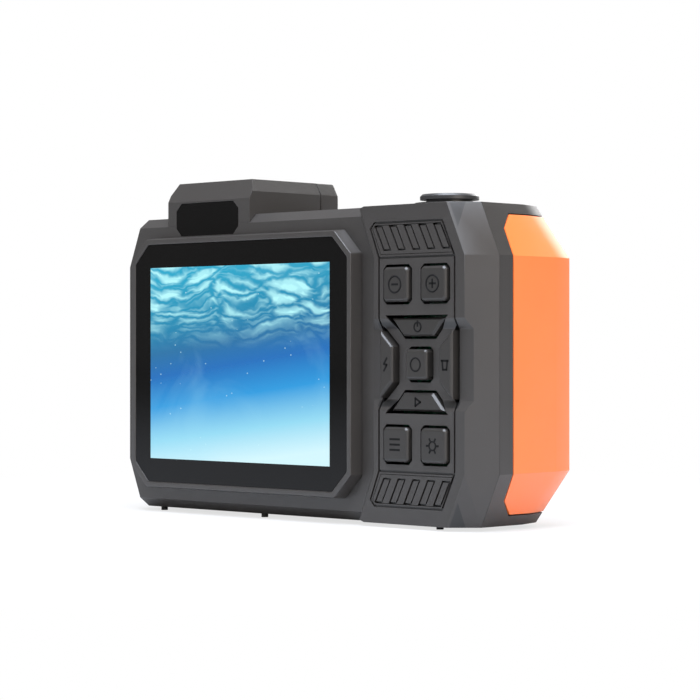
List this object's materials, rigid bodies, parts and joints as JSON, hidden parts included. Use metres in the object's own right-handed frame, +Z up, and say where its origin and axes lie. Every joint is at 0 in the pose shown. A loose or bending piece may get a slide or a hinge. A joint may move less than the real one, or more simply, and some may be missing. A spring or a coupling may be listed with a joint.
{
  "type": "action camera",
  "caption": "Compact action camera with a rear screen, a keypad grip with a hinged side cover, a shutter button, a lamp housing on top and a tripod socket below.",
  "frame": {"origin": "on the standing surface, under the middle of the camera", "axes": "+Z up, -Y is where the lens looks, +Y is the screen side, -X is the grip side"},
  "size_m": [0.1116, 0.0354, 0.0746],
  "materials": {
    "shell_plastic": "fine matte texture",
    "grip_plastic": "fine matte texture",
    "orange_cover": "satin",
    "key_rubber": "satin",
    "button_plastic": "satin",
    "black_glass": "polished",
    "lcd": "glossy, lit",
    "clear_glass": "polished",
    "lens_metal": "satin black",
    "circuit_board": "solder mask",
    "chip_plastic": "matte",
    "steel": "plain",
    "brass": "plain",
    "seal_rubber": "matte",
    "battery_wrap": "wrapped",
    "card_plastic": "matte",
    "reflector": "bright"
  },
  "bodies": {
    "camera": {"battery": "battery_wrap", "battery_contacts": "brass", "battery_tray": "grip_plastic", "board_chips": "chip_plastic", "card_socket": "steel", "case_gasket": "seal_rubber", "case_screws": "steel", "dome_switches": "steel", "door_hinge_pin": "steel", "door_seal": "seal_rubber", "feet": "seal_rubber", "front_indicator": "black_glass", "front_shell": "shell_plastic", "grip_panel": "grip_plastic", "image_sensor": "chip_plastic", "key_board": "circuit_board", "lamp_board": "circuit_board", "lamp_front_cap": "shell_plastic", "lamp_housing": "shell_plastic", "lamp_lens": "clear_glass", "lamp_rear_window": "black_glass", "lamp_reflector": "reflector", "lcd_backing": "steel", "lcd_panel": "lcd", "lens_barrel": "lens_metal", "lens_element_front": "clear_glass", "lens_element_rear": "clear_glass", "lens_iris": "lens_metal", "lens_ring": "lens_metal", "lens_window": "clear_glass", "lower_grille": "grip_plastic", "main_board": "circuit_board", "memory_card": "card_plastic", "microphone": "steel", "rear_shell": "shell_plastic", "screen_bezel": "shell_plastic", "screen_glass": "black_glass", "sensor_holder": "lens_metal", "shutter_board": "circuit_board", "shutter_collar": "button_plastic", "shutter_switch": "steel", "side_frame": "grip_plastic", "speaker": "steel", "tripod_nut": "brass", "upper_grille": "grip_plastic", "usb_socket": "steel"},
    "key_down_cap": {"key_down": "key_rubber"},
    "key_left_cap": {"key_left": "key_rubber"},
    "key_mode_cap": {"key_mode": "key_rubber"},
    "key_ok_cap": {"key_ok": "key_rubber"},
    "key_right_cap": {"key_right": "key_rubber"},
    "key_settings_cap": {"key_settings": "key_rubber"},
    "key_up_cap": {"key_up": "key_rubber"},
    "key_zoom_tele_cap": {"key_zoom_tele": "key_rubber"},
    "key_zoom_wide_cap": {"key_zoom_wide": "key_rubber"},
    "shutter": {"shutter_button": "button_plastic"},
    "door": {"side_door": "orange_cover"}
  },
  "joints": [
    {"name": "key_down_press", "type": "slide", "parent": "camera", "child": "key_down_cap", "axis": [0, -1, 0], "range_m": [0, 0.0005], "stiffness_N_per_m": 1500, "springref_m": -0.0002},
    {"name": "key_left_press", "type": "slide", "parent": "camera", "child": "key_left_cap", "axis": [0, -1, 0], "range_m": [0, 0.0005], "stiffness_N_per_m": 1500, "springref_m": -0.0002},
    {"name": "key_mode_press", "type": "slide", "parent": "camera", "child": "key_mode_cap", "axis": [0, -1, 0], "range_m": [0, 0.0005], "stiffness_N_per_m": 1500, "springref_m": -0.0002},
    {"name": "key_ok_press", "type": "slide", "parent": "camera", "child": "key_ok_cap", "axis": [0, -1, 0], "range_m": [0, 0.0005], "stiffness_N_per_m": 1500, "springref_m": -0.0002},
    {"name": "key_right_press", "type": "slide", "parent": "camera", "child": "key_right_cap", "axis": [0, -1, 0], "range_m": [0, 0.0005], "stiffness_N_per_m": 1500, "springref_m": -0.0002},
    {"name": "key_settings_press", "type": "slide", "parent": "camera", "child": "key_settings_cap", "axis": [0, -1, 0], "range_m": [0, 0.0005], "stiffness_N_per_m": 1500, "springref_m": -0.0002},
    {"name": "key_up_press", "type": "slide", "parent": "camera", "child": "key_up_cap", "axis": [0, -1, 0], "range_m": [0, 0.0005], "stiffness_N_per_m": 1500, "springref_m": -0.0002},
    {"name": "key_zoom_tele_press", "type": "slide", "parent": "camera", "child": "key_zoom_tele_cap", "axis": [0, -1, 0], "range_m": [0, 0.0005], "stiffness_N_per_m": 1500, "springref_m": -0.0002},
    {"name": "key_zoom_wide_press", "type": "slide", "parent": "camera", "child": "key_zoom_wide_cap", "axis": [0, -1, 0], "range_m": [0, 0.0005], "stiffness_N_per_m": 1500, "springref_m": -0.0002},
    {"name": "shutter_press", "type": "slide", "parent": "camera", "child": "shutter", "axis": [0, 0, -1], "range_m": [0, 0.0008], "stiffness_N_per_m": 1200, "springref_m": -0.0002},
    {"name": "door_swing", "type": "hinge", "parent": "camera", "child": "door", "pos_m": [-0.031, -0.01375, 0.0338], "axis": [0, 0, 1], "range_deg": [0, 100]}
  ]
}
